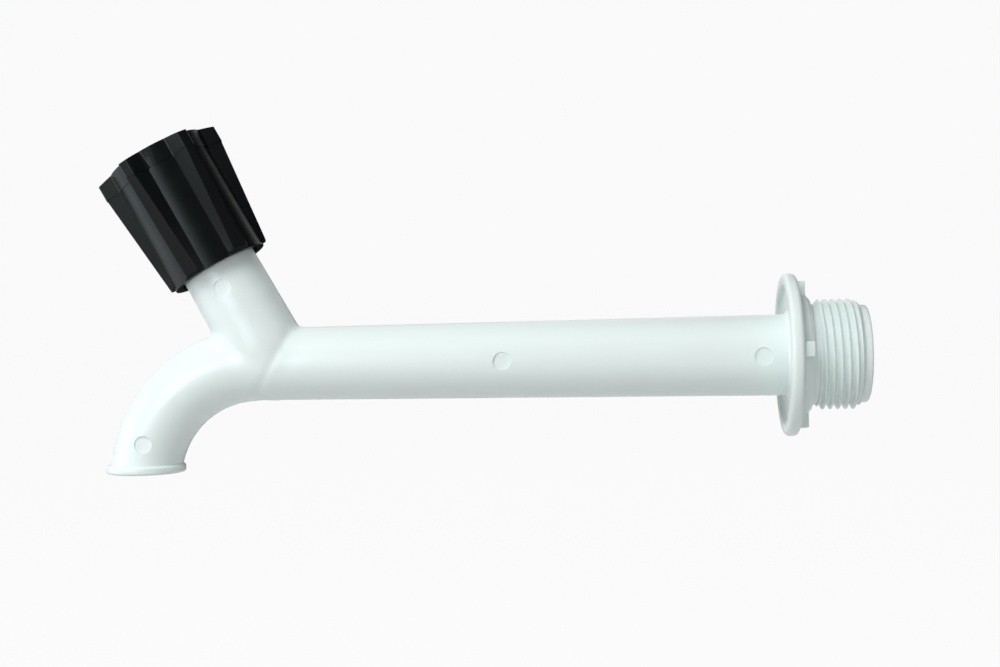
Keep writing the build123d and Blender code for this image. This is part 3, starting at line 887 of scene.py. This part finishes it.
class TAP_OT_stage(bpy.types.Operator):
    """A pale floor, soft light and a camera at the photograph's angle"""

    bl_idname = "tap.stage"
    bl_label = "Stage"

    camera_place = Vector((-46.0, -385.0, 12.0)) * MM
    camera_pan, camera_tilt, camera_roll = radians(-3.725), radians(-0.829), radians(-1.14)
    camera_lens, sensor_w = 57.15, 36.0      # millimetres, as the camera takes them
    floor_size = 60.0
    floor_drop = 95.0 * MM                   # below the outlet
    floor_colour = (0.72, 0.72, 0.72, 1)
    floor_roughness, floor_specular = 0.9, 0.1
    floor_white = 0.94                       # share of plain white where the floor is seen
    world_as_light, world_where_seen = 0.25, 0.955
    # Lamps that face the tap's middle: place, size and power
    middle = Vector((-75.0, 0.0, 10.0)) * MM
    lamps = {
        "key_light": (Vector((-420.0, -500.0, 620.0)) * MM, 550.0 * MM, 5.7),
        "side_light": (Vector((-750.0, -150.0, 150.0)) * MM, 450.0 * MM, 0.6),
        "front_light": (Vector((50.0, -850.0, 200.0)) * MM, 600.0 * MM, 1.0),
    }
    card_colour = (0.84, 0.96, 1.0, 1)
    # Cards round the knob, seen only in reflections: offset from the knob, size and strength
    cards = {
        "bright_card_left": (Vector((-330.0, -50.0, -90.0)) * MM, 300.0 * MM, 3.0),
        "bright_card_front": (Vector((-250.0, -560.0, 90.0)) * MM, 230.0 * MM, 10.0),
        "dark_card_front": (Vector((190.0, -560.0, 180.0)) * MM, 600.0 * MM, 0.0),
        "dark_card_right": (Vector((160.0, 30.0, 120.0)) * MM, 260.0 * MM, 0.0),
        "dark_card_behind": (Vector((0.0, 150.0, -40.0)) * MM, 130.0 * MM, 0.0),
    }

    def execute(self, context):
        context.scene.view_settings.view_transform = "Standard"
        self.floor()
        self.world(context.scene)
        for name, (place, size, power) in self.lamps.items():
            self.lamp(name, place, size, power)
        for name, (offset, size, strength) in self.cards.items():
            self.card(name, offset, size, strength)
        self.camera(context.scene)
        return {"FINISHED"}

    def floor(self):
        """A level floor, wide enough to meet the background."""
        deselect()
        bpy.ops.mesh.primitive_plane_add(
            size=self.floor_size, location=(0, 0, OUTLET_LOW - self.floor_drop))
        floor = bpy.context.object
        floor.name = "floor"
        floor.data.materials.append(self.white_where_seen("pale_floor"))

    def white_where_seen(self, name):
        """A pale matt finish, nearly white where it is seen, that keeps a faint shadow."""
        material = bpy.data.materials.new(name)
        material.use_nodes = True
        nodes, links = material.node_tree.nodes, material.node_tree.links
        shader = nodes["Principled BSDF"]
        shader.inputs["Base Color"].default_value = self.floor_colour
        shader.inputs["Roughness"].default_value = self.floor_roughness
        shader.inputs["Specular IOR Level"].default_value = self.floor_specular
        glow = nodes.new("ShaderNodeEmission")
        share = nodes.new("ShaderNodeMath")
        share.operation = "MULTIPLY"
        share.inputs[1].default_value = self.floor_white
        links.new(seen_as_background(nodes, links), share.inputs[0])
        blend = nodes.new("ShaderNodeMixShader")
        links.new(share.outputs[0], blend.inputs["Fac"])
        links.new(shader.outputs["BSDF"], blend.inputs[1])
        links.new(glow.outputs["Emission"], blend.inputs[2])
        links.new(blend.outputs["Shader"], nodes["Material Output"].inputs["Surface"])
        return material

    def card(self, name, offset, size, strength):
        """A studio card that faces the knob and shows only in reflections."""
        deselect()
        knob = sum(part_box("knob"), Vector()) / 2
        bpy.ops.mesh.primitive_plane_add(size=size, location=knob + offset, rotation=turn_to(-offset))
        card = bpy.context.object
        card.name = name
        material = bpy.data.materials.new(name)
        material.use_nodes = True
        shader = material.node_tree.nodes["Principled BSDF"]
        shader.inputs["Base Color"].default_value = (0, 0, 0, 1)
        shader.inputs["Specular IOR Level"].default_value = 0.0
        shader.inputs["Emission Color"].default_value = self.card_colour
        shader.inputs["Emission Strength"].default_value = strength
        card.data.materials.append(material)
        card.visible_camera = card.visible_diffuse = card.visible_shadow = False

    def world(self, scene):
        """White to the camera and in reflections, and a plain grey fill as light."""
        world = bpy.data.worlds.new("studio")
        scene.world = world
        world.use_nodes = True
        nodes, links = world.node_tree.nodes, world.node_tree.links
        background = nodes["Background"]
        background.inputs["Color"].default_value = (1, 1, 1, 1)
        strength = nodes.new("ShaderNodeMapRange")
        strength.inputs["To Min"].default_value = self.world_as_light
        strength.inputs["To Max"].default_value = self.world_where_seen
        links.new(seen_as_background(nodes, links), strength.inputs["Value"])
        links.new(strength.outputs[0], background.inputs["Strength"])

    def lamp(self, name, place, size, power):
        """A soft square lamp that leaves no highlight of its own."""
        data = bpy.data.lights.new(name, "AREA")
        data.size = size
        data.energy = power
        lamp = bpy.data.objects.new(name, data)
        bpy.context.scene.collection.objects.link(lamp)
        lamp.location = place
        lamp.rotation_euler = (self.middle - place).to_track_quat("-Z", "Y").to_euler()
        lamp.visible_glossy = False

    def camera(self, scene):
        """The camera fitted to the photograph."""
        pan, tilt, roll = self.camera_pan, self.camera_tilt, self.camera_roll
        look = Vector((sin(pan) * cos(tilt), cos(pan) * cos(tilt), sin(tilt)))
        level = Vector((cos(pan), -sin(pan), 0))
        rise = level.cross(look)
        right = level * cos(roll) + rise * sin(roll)
        up = rise * cos(roll) - level * sin(roll)
        data = bpy.data.cameras.new("photo_camera")
        data.lens = self.camera_lens
        data.sensor_width = self.sensor_w
        data.sensor_fit = "HORIZONTAL"
        data.clip_start = MM
        camera = bpy.data.objects.new("photo_camera", data)
        scene.collection.objects.link(camera)
        turned = Matrix((right, up, -look)).transposed().to_4x4()
        camera.matrix_world = Matrix.Translation(self.camera_place) @ turned
        scene.camera = camera


class TAP_PT_panel(bpy.types.Panel):
    """Builds the tap piece by piece"""

    bl_label = "Sink tap"
    bl_idname = "TAP_PT_panel"
    bl_space_type = "VIEW_3D"
    bl_region_type = "UI"
    bl_category = "Sink tap"

    def draw(self, context):
        for operator in OPERATORS:
            self.layout.operator(operator.bl_idname)


OPERATORS = (
    TAP_OT_moulding, TAP_OT_outlet_lip, TAP_OT_flange, TAP_OT_thread, TAP_OT_knob, TAP_OT_inner_pieces,
    TAP_OT_stage,
)
SETTINGS = {
    "tap_moulding": TapMouldingSizes, "tap_flange": TapFlangeSizes, "tap_knob": TapKnobSizes,
    "tap_colours": TapColours,
}


def register():
    """Adds the settings, the operators and the panel."""
    for group in SETTINGS.values():
        bpy.utils.register_class(group)
    for name, group in SETTINGS.items():
        setattr(bpy.types.Scene, name, bpy.props.PointerProperty(type=group))
    for operator in OPERATORS:
        bpy.utils.register_class(operator)
    bpy.utils.register_class(TAP_PT_panel)


def unregister():
    """Takes the settings, the operators and the panel away again."""
    bpy.utils.unregister_class(TAP_PT_panel)
    for operator in reversed(OPERATORS):
        bpy.utils.unregister_class(operator)
    for name, group in SETTINGS.items():
        delattr(bpy.types.Scene, name)
        bpy.utils.unregister_class(group)


def main():
    """Builds the whole tap on its stage."""
    register()
    bpy.ops.tap.moulding()
    bpy.ops.tap.outlet_lip()
    bpy.ops.tap.flange()
    bpy.ops.tap.thread()
    bpy.ops.tap.knob()
    bpy.ops.tap.inner_pieces()
    bpy.ops.tap.stage()


if __name__ == "__main__":
    main()
